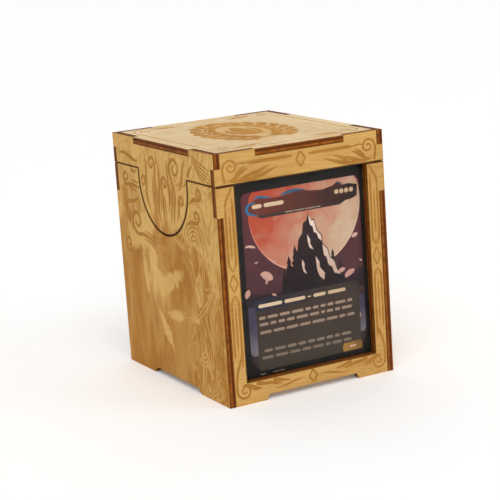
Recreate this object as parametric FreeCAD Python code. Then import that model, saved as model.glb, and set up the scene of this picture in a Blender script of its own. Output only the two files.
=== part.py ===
import FreeCAD, Part
import os

os.makedirs("parts", exist_ok=True)

# Card deck box cut from thin plywood, with a lift-off lid and one sleeved card behind a window in the front.
# Millimetres. The origin is under the middle of the box, level with the soles of the feet.
# +Z is up, +X is to the right and the front looks along -Y.

# Driving dimensions
width = 82.0
depth = 96.0
height = 107.0
ply = 3.0
seam_z = 93.6  # lower edge of the lid's walls
running_gap = 0.3  # air between the lid and the base, and round the card
glue_line = 0.15  # between the outer walls and the lining inside them

# Finger joints
lid_finger_z = 100.7  # the lid's strips reach the corners below this, its sides above it
base_finger_z = 80.7  # the front and back reach the corners above this, the sides below it
lid_tab_front = 43.0  # length of the lid top's tabs along the front and the back
lid_tab_side = 53.0  # and along the sides

# Openings cut in the walls
window_width = 64.3
window_sill_z = 9.5
thumb_notch_width = 46.6
thumb_notch_bottom_z = 66.6
liner_notch_width = 34.0
liner_notch_bottom_z = 73.0
arch_height = 2.5
front_arch_width = 46.2
front_arch_slant = 1.3
side_arch_width = 45.2
side_arch_slant = 3.0

# Lining and floor
liner_top_z = 103.5
slot_depth = 3.0  # front to back, behind the window

# Sleeved card
card_width = 63.0
card_height = 88.0
card_thickness = 0.3
card_corner = 3.0
card_offset_x = 0.9
sleeve_width = 66.0
sleeve_height = 91.0
sleeve_corner = 1.0
sleeve_rim = 0.4  # folded edge of the back film, at the sides and the bottom
front_film = 0.1
back_film = 0.15
film_gap = 0.1  # air between the front film and the card

# Worked out from the above
half_width = width / 2
half_depth = depth / 2
base_top_z = seam_z - running_gap
inner_x = half_width - ply
inner_y = half_depth - ply
lid_ceiling_z = height - ply
floor_z = arch_height + ply
liner_x = inner_x - glue_line
liner_y = inner_y - glue_line
divider_front_y = -liner_y + slot_depth
divider_back_y = divider_front_y + ply

up = FreeCAD.Vector(0, 0, 1)
right = FreeCAD.Vector(1, 0, 0)
back = FreeCAD.Vector(0, 1, 0)


def across(x, z):
    # a point of a wall that faces the front or the back
    return FreeCAD.Vector(x, 0, z)


def along(y, z):
    # a point of a wall that faces a side
    return FreeCAD.Vector(0, y, z)


def flat(x, y):
    # a point of a level panel
    return FreeCAD.Vector(x, y, 0)


def panel(half_outline, place, direction, start, thickness=ply):
    # A sheet from half of its outline, mirrored about its middle and cut from start towards direction.
    outline = half_outline + [(-u, v) for u, v in reversed(half_outline)]
    points = [place(u, v) for u, v in outline]
    face = Part.Face(Part.makePolygon(points + points[:1]))
    face.translate(direction * start)
    return face.extrude(direction * thickness)


def u_shape(width_y, bottom_z, top_z, start_x):
    # A sheet with a half-round lower end: the lid's tongue, or the cutter for a thumb notch.
    radius = width_y / 2
    centre_z = bottom_z + radius
    edges = [
        Part.LineSegment(along(-radius, centre_z), along(-radius, top_z)).toShape(),
        Part.LineSegment(along(-radius, top_z), along(radius, top_z)).toShape(),
        Part.LineSegment(along(radius, top_z), along(radius, centre_z)).toShape(),
        Part.Arc(along(radius, centre_z), along(0, bottom_z), along(-radius, centre_z)).toShape(),
    ]
    face = Part.Face(Part.Wire(edges))
    face.translate(right * start_x)
    return face.extrude(right * ply)


def rounded_sheet(size_x, size_z, thickness, corner, centre_x, front_y, bottom_z):
    # An upright thin sheet with rounded corners.
    sheet = Part.makeBox(
        size_x, thickness, size_z, FreeCAD.Vector(centre_x - size_x / 2, front_y, bottom_z)
    )
    corners = [e for e in sheet.Edges if e.BoundBox.YLength > thickness / 2]
    return sheet.makeFillet(corner, corners)


def slab(x_span, y_span, z_span):
    (x0, x1), (y0, y1), (z0, z1) = x_span, y_span, z_span
    return Part.makeBox(x1 - x0, y1 - y0, z1 - z0, FreeCAD.Vector(x0, y0, z0))


def save(name, shape):
    shape.removeSplitter().exportStep("parts/" + name + ".step")


# The base: outer walls, floor, lining, divider and the strips beside the card


def wall_foot(arch_width, arch_slant):
    # the underside of a wall, from the arch's ceiling down to the foot
    return [(arch_width / 2 - arch_slant, arch_height), (arch_width / 2, 0)]


def wall_across():
    # front or back wall of the base: its upper fingers reach the corners
    return wall_foot(front_arch_width, front_arch_slant) + [
        (inner_x, 0),
        (inner_x, base_finger_z),
        (half_width, base_finger_z),
        (half_width, base_top_z),
    ]


def front_frame():
    window = [(window_width / 2, base_top_z), (window_width / 2, window_sill_z)]
    return panel(wall_across() + window, across, back, -half_depth)


def back_panel():
    return panel(wall_across(), across, back, inner_y)


def side_panel(start_x):
    outline = wall_foot(side_arch_width, side_arch_slant) + [
        (half_depth, 0),
        (half_depth, base_finger_z),
        (inner_y, base_finger_z),
        (inner_y, base_top_z),
    ]
    wall = panel(outline, along, right, start_x)
    return wall.cut(u_shape(thumb_notch_width, thumb_notch_bottom_z, height, start_x))


def bottom_panel():
    return panel([(inner_x, -inner_y), (inner_x, inner_y)], flat, up, arch_height)


def divider():
    return slab((-liner_x, liner_x), (divider_front_y, divider_back_y), (floor_z, liner_top_z))


def liner_back():
    return slab((-liner_x, liner_x), (liner_y - ply, liner_y), (floor_z, liner_top_z))


def liner_side(start_x):
    wall = slab((start_x, start_x + ply), (divider_back_y, liner_y - ply), (floor_z, liner_top_z))
    return wall.cut(u_shape(liner_notch_width, liner_notch_bottom_z, height, start_x))


def slot_spacer(side):
    # side is -1 for the left one and 1 for the right one
    inner_edge = sleeve_width / 2 + running_gap
    x_span = sorted((side * inner_edge, side * liner_x))
    return slab(x_span, (-liner_y, divider_front_y), (floor_z, base_top_z))


# The lid: its top and four walls


def lid_top():
    outline = [
        (lid_tab_front / 2, -half_depth),
        (lid_tab_front / 2, -inner_y),
        (inner_x, -inner_y),
        (inner_x, -lid_tab_side / 2),
        (half_width, -lid_tab_side / 2),
        (half_width, lid_tab_side / 2),
        (inner_x, lid_tab_side / 2),
        (inner_x, inner_y),
        (lid_tab_front / 2, inner_y),
        (lid_tab_front / 2, half_depth),
    ]
    return panel(outline, flat, up, lid_ceiling_z)


def lid_strip(start_y):
    # front or back strip, notched on top for the lid top's tab
    outline = [
        (half_width, seam_z),
        (half_width, lid_finger_z),
        (inner_x, lid_finger_z),
        (inner_x, height),
        (lid_tab_front / 2, height),
        (lid_tab_front / 2, lid_ceiling_z),
    ]
    return panel(outline, across, back, start_y)


def lid_side(start_x):
    # side wall of the lid with the tongue that fills the base's thumb notch
    outline = [
        (inner_y, seam_z),
        (inner_y, lid_finger_z),
        (half_depth, lid_finger_z),
        (half_depth, height),
        (lid_tab_side / 2, height),
        (lid_tab_side / 2, lid_ceiling_z),
    ]
    wall = panel(outline, along, right, start_x)
    tongue_width = thumb_notch_width - 2 * running_gap
    tongue_bottom_z = thumb_notch_bottom_z + running_gap
    return wall.fuse(u_shape(tongue_width, tongue_bottom_z, lid_ceiling_z, start_x))


# The sleeved card, from its front film backwards

sleeve_front_y = -inner_y + running_gap
rim_front_y = sleeve_front_y + front_film
card_front_y = rim_front_y + film_gap
sleeve_back_y = card_front_y + card_thickness
sleeve_bottom_z = floor_z + running_gap / 2


def sleeve_sheet(thickness, front_y):
    return rounded_sheet(
        sleeve_width, sleeve_height, thickness, sleeve_corner, 0, front_y, sleeve_bottom_z
    )


def sleeve_front():
    return sleeve_sheet(front_film, sleeve_front_y)


def sleeve_back():
    # back film whose folded rims reach forward to the front film
    folded = sleeve_sheet(sleeve_back_y + back_film - rim_front_y, rim_front_y)
    pocket_half = sleeve_width / 2 - sleeve_rim
    pocket_z = (sleeve_bottom_z + sleeve_rim, height)
    return folded.cut(slab((-pocket_half, pocket_half), (rim_front_y, sleeve_back_y), pocket_z))


def display_card():
    return rounded_sheet(
        card_width,
        card_height,
        card_thickness,
        card_corner,
        card_offset_x,
        card_front_y,
        sleeve_bottom_z + sleeve_rim + film_gap,
    )


save("front_frame", front_frame())
save("back_panel", back_panel())
save("left_panel", side_panel(-half_width))
save("right_panel", side_panel(inner_x))
save("bottom_panel", bottom_panel())
save("divider", divider())
save("liner_back", liner_back())
save("liner_left", liner_side(-liner_x))
save("liner_right", liner_side(liner_x - ply))
save("slot_spacer_left", slot_spacer(-1))
save("slot_spacer_right", slot_spacer(1))
save("lid_top", lid_top())
save("lid_front", lid_strip(-half_depth))
save("lid_back", lid_strip(inner_y))
save("lid_left", lid_side(-half_width))
save("lid_right", lid_side(inner_x))
save("sleeve_front", sleeve_front())
save("display_card", display_card())
save("sleeve_back", sleeve_back())
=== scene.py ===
import math
import random

import bmesh
import bpy
from mathutils import Matrix, Vector


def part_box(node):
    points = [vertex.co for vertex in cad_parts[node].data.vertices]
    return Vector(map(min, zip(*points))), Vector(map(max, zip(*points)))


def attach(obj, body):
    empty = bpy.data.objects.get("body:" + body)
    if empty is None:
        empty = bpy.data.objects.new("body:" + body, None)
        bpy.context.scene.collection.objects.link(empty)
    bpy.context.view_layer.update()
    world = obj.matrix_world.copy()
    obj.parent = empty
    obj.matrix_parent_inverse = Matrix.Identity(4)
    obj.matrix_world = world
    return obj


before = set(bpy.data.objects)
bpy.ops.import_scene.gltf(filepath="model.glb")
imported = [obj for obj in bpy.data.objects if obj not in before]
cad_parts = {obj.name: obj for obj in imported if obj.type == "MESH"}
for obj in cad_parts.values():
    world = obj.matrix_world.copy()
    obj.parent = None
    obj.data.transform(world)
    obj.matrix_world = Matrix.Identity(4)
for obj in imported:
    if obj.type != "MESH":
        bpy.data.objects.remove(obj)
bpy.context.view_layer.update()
mm = 0.001
print("frame loaded:", len(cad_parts), "panels and card pieces")


# measures taken from the frame, in millimetres

def boxOf(name):
    low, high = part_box(name)
    return low / mm, high / mm


lidLow, lidHigh = boxOf("lid_top")
frontHigh = boxOf("front_frame")[1]
stripLow = boxOf("lid_front")[0]
cardLow = boxOf("display_card")[0]
boxWidth = lidHigh.x - lidLow.x
boxDepth = lidHigh.y - lidLow.y
boxHeight = lidHigh.z
plyThick = lidHigh.z - lidLow.z
seamHeight = stripLow.z


# shader helpers

def ink(red, green, blue):
    # a paint-chart colour, 0 to 255, as the linear colour a shader takes
    return tuple(((c / 255 + 0.055) / 1.055) ** 2.4 for c in (red, green, blue)) + (1.0,)


def fill(tree, sockets, values):
    for name, value in values.items():
        if isinstance(value, bpy.types.NodeSocket):
            tree.links.new(value, sockets[name])
        else:
            sockets[name].default_value = value


def addNode(tree, kind, props=None, inputs=None):
    made = tree.nodes.new("ShaderNode" + kind)
    for name, value in (props or {}).items():
        setattr(made, name, value)
    fill(tree, made.inputs, inputs or {})
    return made


def mathOf(tree, operation, first, second=0.0, clamp=False):
    props = {"operation": operation, "use_clamp": clamp}
    return addNode(tree, "Math", props, {0: first, 1: second}).outputs[0]


def plus(tree, first, second, clamp=False):
    return mathOf(tree, "ADD", first, second, clamp)


def minus(tree, first, second):
    return mathOf(tree, "SUBTRACT", first, second)


def times(tree, first, second, clamp=False):
    return mathOf(tree, "MULTIPLY", first, second, clamp)


def sizeOf(tree, value):
    return mathOf(tree, "ABSOLUTE", value)


def vectorOf(tree, operation, first, second=None, scale=None):
    inputs = {0: first}
    if second is not None:
        inputs[1] = second
    if scale is not None:
        inputs["Scale"] = scale
    made = addNode(tree, "VectorMath", {"operation": operation}, inputs)
    return made.outputs["Value"] if operation in ("DOT_PRODUCT", "LENGTH") else made.outputs[0]


def mixOf(tree, factor, first, second):
    props = {"data_type": "RGBA", "clamp_factor": True}
    return addNode(tree, "Mix", props, {0: factor, 6: first, 7: second}).outputs[2]


def rangeOf(tree, value, low, high, newLow=0.0, newHigh=1.0, curve="SMOOTHSTEP"):
    inputs = {"Value": value, "From Min": low, "From Max": high, "To Min": newLow, "To Max": newHigh}
    return addNode(tree, "MapRange", {"interpolation_type": curve}, inputs).outputs[0]


def noiseOf(tree, vector, scale, detail, rough, distortion=0.0):
    inputs = {"Vector": vector, "Scale": scale, "Detail": detail, "Roughness": rough,
              "Distortion": distortion}
    return addNode(tree, "TexNoise", None, inputs).outputs[0]


def noiseAt(tree, place, size, *texture):
    # size is one factor for each axis, or one for all of them
    if isinstance(size, tuple):
        return noiseOf(tree, vectorOf(tree, "MULTIPLY", place, size), 1.0, *texture)
    return noiseOf(tree, vectorOf(tree, "SCALE", place, scale=size), 1.0, *texture)


def newGroup(name, inputs, outputs):
    # an input that is given as a number is a float with that default
    group = bpy.data.node_groups.new(name, "ShaderNodeTree")
    for label, kind in inputs.items():
        plain = isinstance(kind, float)
        typeName = "NodeSocket" + ("Float" if plain else kind)
        socket = group.interface.new_socket(label, in_out="INPUT", socket_type=typeName)
        if plain:
            socket.default_value = kind
    for label, kind in outputs.items():
        group.interface.new_socket(label, in_out="OUTPUT", socket_type="NodeSocket" + kind)
    source = group.nodes.new("NodeGroupInput")
    return group, source.outputs, group.nodes.new("NodeGroupOutput").inputs


def placeGroup(tree, group, inputs):
    return addNode(tree, "Group", {"node_tree": group}, inputs).outputs


# shared effects

def birchGrainGroup():
    # Along holds the millimetre position with its first axis running along the grain
    group, given, result = newGroup(
        "birch grain",
        {"Along": "Vector", "Pale": "Color", "Dark": "Color", "Figure": 0.5, "Mottle": 0.3},
        {"Color": "Color", "Height": "Float", "Roughness": "Float"})
    figure = noiseAt(group, given["Along"], (0.012, 0.16, 0.16), 3.0, 0.5, 1.2)
    rings = mathOf(group, "FRACT", times(group, figure, 9.0))
    ringLine = rangeOf(group, sizeOf(group, minus(group, rings, 0.5)), 0.0, 0.5)
    fibre = noiseAt(group, given["Along"], (0.18, 3.4, 3.4), 4.0, 0.6)
    pores = noiseAt(group, given["Along"], (0.5, 7.0, 7.0), 2.0, 0.5)
    poreLine = rangeOf(group, pores, 0.6, 0.72)
    cloud = noiseAt(group, given["Along"], (0.022, 0.045, 0.045), 2.0, 0.5)
    tone = times(group, ringLine, times(group, given["Figure"], 0.55))
    fibreShare = times(group, given["Figure"], 0.5)
    tone = plus(group, tone, times(group, rangeOf(group, fibre, 0.3, 0.75), fibreShare))
    tone = plus(group, tone, times(group, rangeOf(group, cloud, 0.3, 0.7), given["Mottle"]))
    tone = plus(group, tone, times(group, poreLine, 0.18), True)
    fill(group, result, {
        "Color": mixOf(group, tone, given["Pale"], given["Dark"]),
        "Height": minus(group, times(group, fibre, 0.6), poreLine),
        "Roughness": rangeOf(group, fibre, 0.2, 0.8, 0.5, 0.68)})
    return group


def laserCutGroup():
    # dark on every cut edge, with the plies showing through and a thin scorched halo on the face
    group, given, result = newGroup(
        "laser cut edge",
        {"Color": "Color", "Place": "Vector", "Normal": "Vector", "Face Axis": "Vector",
         "Ply Depth": 0.0, "Char": "Color", "Ember": "Color", "Halo": 0.0},
        {"Color": "Color", "Cut": "Float", "Height": "Float"})
    facing = sizeOf(group, vectorOf(group, "DOT_PRODUCT", given["Normal"], given["Face Axis"]))
    cut = rangeOf(group, facing, 0.35, 0.75, 1.0, 0.0)
    plies = mathOf(group, "PINGPONG", given["Ply Depth"], 1.0)
    inner = rangeOf(group, plies, 0.12, 0.85)
    smoke = noiseAt(group, given["Place"], 0.33, 3.0, 0.6)
    streak = noiseAt(group, given["Place"], (5.0, 5.0, 5.0), 2.0, 0.5)
    ember = times(group, inner, rangeOf(group, smoke, 0.3, 0.7, 0.35, 1.0))
    ember = times(group, ember, rangeOf(group, streak, 0.25, 0.7, 0.6, 1.0))
    burnt = mixOf(group, ember, given["Char"], given["Ember"])
    haloTone = times(group, given["Halo"], rangeOf(group, smoke, 0.25, 0.75, 0.35, 1.0))
    scorched = mixOf(group, haloTone, given["Color"], given["Ember"])
    fill(group, result, {
        "Color": mixOf(group, cut, scorched, burnt), "Cut": cut,
        "Height": times(group, cut, plus(group, streak, inner))})
    return group


def handledGroup():
    # faint grey-brown handling and dust, used on wood, film and print alike
    group, given, result = newGroup(
        "handling",
        {"Color": "Color", "Place": "Vector", "Roughness": 0.5, "Amount": 0.2, "Grime": "Color"},
        {"Color": "Color", "Roughness": "Float"})
    cloud = noiseAt(group, given["Place"], 0.05, 3.0, 0.6, 0.4)
    specks = noiseAt(group, given["Place"], 2.2, 2.0, 0.5)
    amount = times(group, rangeOf(group, cloud, 0.42, 0.75), given["Amount"])
    speckled = times(group, rangeOf(group, specks, 0.7, 0.8), times(group, given["Amount"], 0.6))
    amount = plus(group, amount, speckled, True)
    fill(group, result, {
        "Color": mixOf(group, amount, given["Color"], given["Grime"]),
        "Roughness": plus(group, given["Roughness"], times(group, amount, 0.35), True)})
    return group


def rasterBurnGroup():
    # broad engraved shading: toned patches with pale drifts left in them, and contour lines that show
    # pale where the wood is toned and dark where it isn't
    group, given, result = newGroup(
        "raster engraving",
        {"Color": "Color", "Place": "Vector", "Burn": "Color", "Tone": 0.5, "Lines": 0.5,
         "Line Area": 1.0, "Patch Size": 0.05, "Line Count": 14.0, "Cover": 0.45, "Unburnt": 0.0},
        {"Color": "Color", "Height": "Float"})
    field = noiseAt(group, given["Place"], (0.055, 0.055, 0.02), 2.0, 0.45, 1.4)
    contour = mathOf(group, "PINGPONG", times(group, field, given["Line Count"]), 0.5)
    line = rangeOf(group, contour, 0.1, 0.26, 1.0, 0.0)
    line = times(group, line, times(group, given["Lines"], given["Line Area"]))
    patch = noiseAt(group, given["Place"], given["Patch Size"], 3.0, 0.5, 1.1)
    low = minus(group, given["Cover"], 0.09)
    high = plus(group, given["Cover"], 0.09)
    toned = rangeOf(group, patch, low, high, 1.0, 0.0)
    toned = times(group, toned, minus(group, 1.0, given["Unburnt"]))
    toned = times(group, toned, given["Tone"])
    burn = sizeOf(group, minus(group, toned, line))
    streaks = noiseAt(group, given["Place"], (0.1, 0.1, 0.028), 3.0, 0.55, 0.8)
    burn = times(group, burn, rangeOf(group, streaks, 0.36, 0.62, 0.72, 1.15))
    dots = noiseAt(group, given["Place"], 4.0, 1.0, 0.5)
    burn = times(group, burn, rangeOf(group, dots, 0.2, 0.7, 0.8, 1.0), True)
    fill(group, result, {
        "Color": mixOf(group, burn, given["Color"], given["Burn"]), "Height": times(group, burn, -1.0)})
    return group


birchGrain = birchGrainGroup()
laserCut = laserCutGroup()
handled = handledGroup()
rasterBurn = rasterBurnGroup()
print("shared effects built")


# plywood

def startMaterial(name):
    material = bpy.data.materials.new(name)
    material.use_nodes = True
    tree = material.node_tree
    return material, tree, tree.nodes["Principled BSDF"]


def placeOf(tree):
    # the place on the object, in millimetres
    return vectorOf(tree, "SCALE", addNode(tree, "TexCoord").outputs["Object"], scale=1000.0)


def wearOf(tree, color, place, roughness, amount, grime):
    return placeGroup(tree, handled, {
        "Color": color, "Place": place, "Roughness": roughness, "Amount": amount, "Grime": grime})


def wearInto(tree, shader, *given):
    worn = wearOf(tree, *given)
    fill(tree, shader.inputs, {"Base Color": worn["Color"], "Roughness": worn["Roughness"]})


def bumpInto(tree, shader, height, strength, distance):
    bump = addNode(tree, "Bump", None, {"Strength": strength, "Distance": distance, "Height": height})
    fill(tree, shader.inputs, {"Normal": bump.outputs[0]})


# the panel's plane as (axis out of its face, axis along the grain, axis across the grain)
planes = {
    "front": ((0, 1, 0), (1, 0, 0), (0, 0, 1)),
    "side": ((1, 0, 0), (0, 0, 1), (0, 1, 0)),
    "level": ((0, 0, 1), (0, 1, 0), (1, 0, 0)),
}


def grainPlace(tree, place, plane):
    # the place turned so that its first axis runs along the grain
    axes = {"X": plane[1], "Y": plane[2], "Z": plane[0]}
    turned = {name: vectorOf(tree, "DOT_PRODUCT", place, axis) for name, axis in axes.items()}
    return addNode(tree, "CombineXYZ", None, turned).outputs[0]


def haloOf(tree, place, plane, low, high, reach):
    # 1 at the outline of the panel's box and 0 from reach inwards
    nearest = None
    for axis in plane[1:]:
        along = vectorOf(tree, "DOT_PRODUCT", place, axis)
        middle = Vector(axis).dot((low + high) / 2)
        half = Vector(axis).dot((high - low) / 2)
        aside = sizeOf(tree, minus(tree, along, middle))
        inward = minus(tree, half, aside)
        nearest = inward if nearest is None else mathOf(tree, "MINIMUM", nearest, inward)
    return rangeOf(tree, nearest, 0.0, reach, 1.0, 0.0)


def softBurnUnder(tree, color, place, burn):
    # a toned oval with a cloudy edge
    spread = vectorOf(tree, "MULTIPLY", place, (1 / burn["halfX"], 1 / burn["halfY"], 0.0))
    reach = vectorOf(tree, "LENGTH", spread)
    cloud = noiseAt(tree, place, 0.09, 3.0, 0.6, 1.0)
    reach = plus(tree, reach, times(tree, minus(tree, cloud, 0.5), 1.1))
    inside = times(tree, rangeOf(tree, reach, 0.55, 1.15, 1.0, 0.0), burn["strength"])
    return mixOf(tree, inside, color, burn["tone"])


def paleDrifts(tree, place, drifts):
    # 1 inside soft ovals of a side wall that stay unburnt, each turned its own way, with a cloudy outline
    nearest = None
    for (u, v), halfLong, halfWide, turn in drifts:
        angle = math.radians(turn)
        off = vectorOf(tree, "SUBTRACT", place, (0, u, v))
        far = vectorOf(tree, "DOT_PRODUCT", off, (0, math.cos(angle) / halfLong, math.sin(angle) / halfLong))
        short = (0, -math.sin(angle) / halfWide, math.cos(angle) / halfWide)
        near = vectorOf(tree, "DOT_PRODUCT", off, short)
        reach = vectorOf(tree, "LENGTH", addNode(tree, "CombineXYZ", None, {"X": far, "Y": near}).outputs[0])
        nearest = reach if nearest is None else mathOf(tree, "MINIMUM", nearest, reach)
    cloud = noiseOf(tree, vectorOf(tree, "MULTIPLY", place, (0, 1, 1)), 0.11, 4.0, 0.6, 0.9)
    shaken = plus(tree, nearest, times(tree, minus(tree, cloud, 0.5), 2.0))
    return rangeOf(tree, shaken, 0.6, 1.1, 1.0, 0.0)


def plywoodMaterial(name, nodeName, look):
    material, tree, shader = startMaterial(name)
    low, high = boxOf(nodeName)
    plane = planes[look["plane"]]
    place = placeOf(tree)
    shifted = vectorOf(tree, "ADD", place, look["grainShift"])
    grain = placeGroup(tree, birchGrain, {
        "Along": grainPlace(tree, shifted, plane), "Pale": look["pale"], "Dark": look["dark"],
        "Figure": look["figure"], "Mottle": look["mottle"]})
    color, height = grain["Color"], times(tree, grain["Height"], 0.35)
    if "softBurn" in look:
        color = softBurnUnder(tree, color, place, look["softBurn"])
    engraving = look.get("engraving")
    if engraving:
        # the contour lines are cut strongest in one upright band and above one height
        level = vectorOf(tree, "DOT_PRODUCT", place, plane[2])
        off = minus(tree, level, engraving["bandCentre"])
        area = rangeOf(tree, sizeOf(tree, off), engraving["bandHalf"] * 0.4,
                       engraving["bandHalf"], 1.0, engraving["bandRest"])
        upwards = vectorOf(tree, "DOT_PRODUCT", place, (0, 0, 1))
        crown = rangeOf(tree, upwards, engraving["crownFrom"], engraving["crownTo"], 0.0, 0.9)
        area = mathOf(tree, "MAXIMUM", area, crown)
        burn = placeGroup(tree, rasterBurn, {
            "Color": color, "Place": shifted, "Burn": engraving["burn"], "Tone": engraving["tone"],
            "Lines": engraving["lines"], "Line Area": area, "Patch Size": engraving["patchSize"],
            "Line Count": engraving["lineCount"],
            "Cover": rangeOf(tree, upwards, 0.0, boxHeight, engraving["coverLow"], engraving["coverHigh"],
                             "LINEAR"),
            "Unburnt": paleDrifts(tree, place, engraving["drifts"])})
        color = burn["Color"]
        height = plus(tree, height, burn["Height"])
    worn = wearOf(tree, color, place, grain["Roughness"], look["grime"], (0.16, 0.09, 0.04, 1))
    depth = minus(tree, vectorOf(tree, "DOT_PRODUCT", place, plane[0]), Vector(plane[0]).dot(low))
    cut = placeGroup(tree, laserCut, {
        "Color": worn["Color"], "Place": place, "Normal": addNode(tree, "TexCoord").outputs["Normal"],
        "Face Axis": plane[0], "Ply Depth": depth, "Char": look["char"], "Ember": look["ember"],
        "Halo": times(tree, haloOf(tree, place, plane, low, high, look["haloReach"]), look["halo"])})
    fill(tree, shader.inputs, {
        "Base Color": cut["Color"], "Specular IOR Level": 0.14,
        "Roughness": plus(tree, worn["Roughness"], times(tree, cut["Cut"], 0.12))})
    bumpInto(tree, shader, plus(tree, height, cut["Height"]), 0.5, 0.00012)
    return material


def plywoodLook(**changes):
    look = {
        "plane": "front",
        "pale": ink(212, 169, 98),
        "dark": ink(174, 125, 57),
        "figure": 0.45,
        "mottle": 0.35,
        "grainShift": (0.0, 0.0, 0.0),
        "grime": 0.12,
        "char": ink(84, 39, 5),
        "ember": ink(168, 96, 18),
        "halo": 0.35,
        "haloReach": 0.7,
    }
    look.update(changes)
    return look


panelLooks = {
    "front_frame": plywoodLook(grainShift=(3.0, 0.0, 40.0)),
    "lid_front": plywoodLook(grainShift=(61.0, 0.0, 12.0)),
    "back_panel": plywoodLook(grainShift=(140.0, 20.0, 71.0)),
    "lid_back": plywoodLook(grainShift=(190.0, 20.0, 33.0)),
    # the top's pale and dark ply colours are paler and less yellow than the walls': a painted highlight for
    # the light that falls on the top from above
    "lid_top": plywoodLook(
        plane="level", pale=ink(238, 213, 168), dark=ink(212, 175, 120),
        grainShift=(15.0, 7.0, 0.0), figure=0.35,
        softBurn={"halfX": 20.0, "halfY": 33.0, "strength": 0.75, "tone": ink(214, 166, 92)}),
    "bottom_panel": plywoodLook(plane="level", grainShift=(80.0, 33.0, 0.0)),
    "divider": plywoodLook(grainShift=(30.0, 5.0, 210.0)),
    "liner_back": plywoodLook(grainShift=(11.0, 5.0, 310.0)),
    "liner_left": plywoodLook(plane="side", grainShift=(5.0, 130.0, 50.0)),
    "liner_right": plywoodLook(plane="side", grainShift=(5.0, 230.0, 90.0)),
    "slot_spacer_left": plywoodLook(grainShift=(70.0, 5.0, 3.0)),
    "slot_spacer_right": plywoodLook(grainShift=(99.0, 5.0, 17.0)),
}

# the four side panels carry one engraved picture that runs across the seam
sideEngraving = {
    "burn": ink(172, 113, 28),
    "tone": 0.93,
    "lines": 0.5,
    "patchSize": 0.03,
    "lineCount": 15.0,
    "coverLow": 0.76,  # more is toned near the foot than near the lid
    "coverHigh": 0.36,
    "bandCentre": lidLow.y + 16.0,  # the contour lines gather near the front
    "bandHalf": 24.0,
    "bandRest": 0.12,
    "crownFrom": 62.0,
    "crownTo": 80.0,
    "drifts": [  # each pale drift: its middle, half length, half width, turn in degrees
        ((26.0, 64.0), 17.0, 8.5, -24),
        ((14.0, 50.0), 13.0, 4.6, 74),
        ((24.0, 48.0), 10.0, 2.4, 80),
        ((0.5, 45.0), 16.0, 4.2, -29),
        ((-27.5, 46.0), 8.5, 3.4, 96),
        ((-4.0, 31.5), 10.0, 2.8, -7),
        ((7.0, 23.0), 9.5, 3.2, 48),
        ((-30.0, 82.0), 14.0, 7.0, 80),
        ((14.0, 88.0), 18.0, 6.0, 100),
        ((-20.0, 101.0), 20.0, 4.0, 0),
    ],
}
for side, shift in (("left", 0.0), ("right", 57.0)):
    for part in (side + "_panel", "lid_" + side):
        panelLooks[part] = plywoodLook(
            plane="side", pale=ink(224, 182, 106), dark=ink(200, 152, 76), figure=0.3,
            grainShift=(shift, shift, 20.0), engraving=sideEngraving)

for nodeName, look in panelLooks.items():
    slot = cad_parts[nodeName].material_slots[0]
    slot.material = plywoodMaterial("birch ply " + nodeName, nodeName, look)
print("plywood finished on", len(panelLooks), "panels")


# drawing tools: strokes in a panel's own plane, in millimetres

def bezier(start, pullOut, pullIn, end, steps=22):
    points = []
    for i in range(steps + 1):
        t = i / steps
        s = 1 - t
        points.append(tuple(
            s ** 3 * start[k] + 3 * s * s * t * pullOut[k] + 3 * s * t * t * pullIn[k] + t ** 3 * end[k]
            for k in (0, 1)))
    return points


def spiral(centre, outer, inner, startAngle, turns, steps=44):
    points = []
    for i in range(steps + 1):
        t = i / steps
        angle = math.radians(startAngle + 360 * turns * t)
        radius = outer + (inner - outer) * t ** 0.8
        points.append((centre[0] + radius * math.cos(angle), centre[1] + radius * math.sin(angle)))
    return points


def arc(centre, radius, fromAngle, toAngle, steps=28):
    return spiral(centre, radius, radius, fromAngle, (toAngle - fromAngle) / 360, steps)


def straight(start, end, spacing=0.8):
    steps = max(2, round(math.dist(start, end) / spacing))
    return [tuple(start[k] + (end[k] - start[k]) * i / steps for k in (0, 1)) for i in range(steps + 1)]


def bentLine(corners):
    points = []
    for start, end in zip(corners, corners[1:]):
        points += straight(start, end)[1 if points else 0:]
    return points


def smoothLine(corners, steps=10):
    # a soft curve through every given corner
    padded = [corners[0]] + list(corners) + [corners[-1]]
    points = [corners[0]]
    for before, start, end, after in zip(padded, padded[1:], padded[2:], padded[3:]):
        for i in range(1, steps + 1):
            t = i / steps
            points.append(tuple(0.5 * (
                2 * start[k] + (end[k] - before[k]) * t
                + (2 * before[k] - 5 * start[k] + 4 * end[k] - after[k]) * t * t
                + (3 * start[k] - before[k] - 3 * end[k] + after[k]) * t ** 3) for k in (0, 1)))
    return points


def widthsOf(count, width, form):
    # form is even, leaf (full in the middle), tail (thins out), flame (the same from a thin root)
    # or point (thin at both tips)
    widths = []
    for i in range(count):
        t = i / (count - 1)
        if form == "leaf":
            share = 0.12 + 0.88 * math.sin(math.pi * t) ** 0.8
        elif form == "tail":
            share = 1.0 - 0.45 * t
        elif form == "flame":
            share = min(1.0, 0.15 + 4 * t) * (1.0 - 0.45 * t)
        elif form == "point":
            share = min(1.0, 0.35 + 5 * t, 0.35 + 5 * (1 - t))
        else:
            share = 1.0
        widths.append(width * share)
    return widths


def stroke(points, width, form="point"):
    return [(u, v, w) for (u, v), w in zip(points, widthsOf(len(points), width, form))]


def mirrored(strokes):
    return strokes + [[(-u, v, w) for u, v, w in line] for line in strokes]


def keepWhere(strokes, inside):
    # cuts the strokes where they leave the area, and keeps the runs inside it
    kept = []
    for line in strokes:
        run = []
        for point in line:
            if inside(point[0], point[1], point[2] / 2):
                run.append(point)
                continue
            if len(run) > 2:
                kept.append(run)
            run = []
        if len(run) > 2:
            kept.append(run)
    return kept


def addObject(name, data):
    made = bpy.data.objects.new(name, data)
    bpy.context.scene.collection.objects.link(made)
    return made


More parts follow.
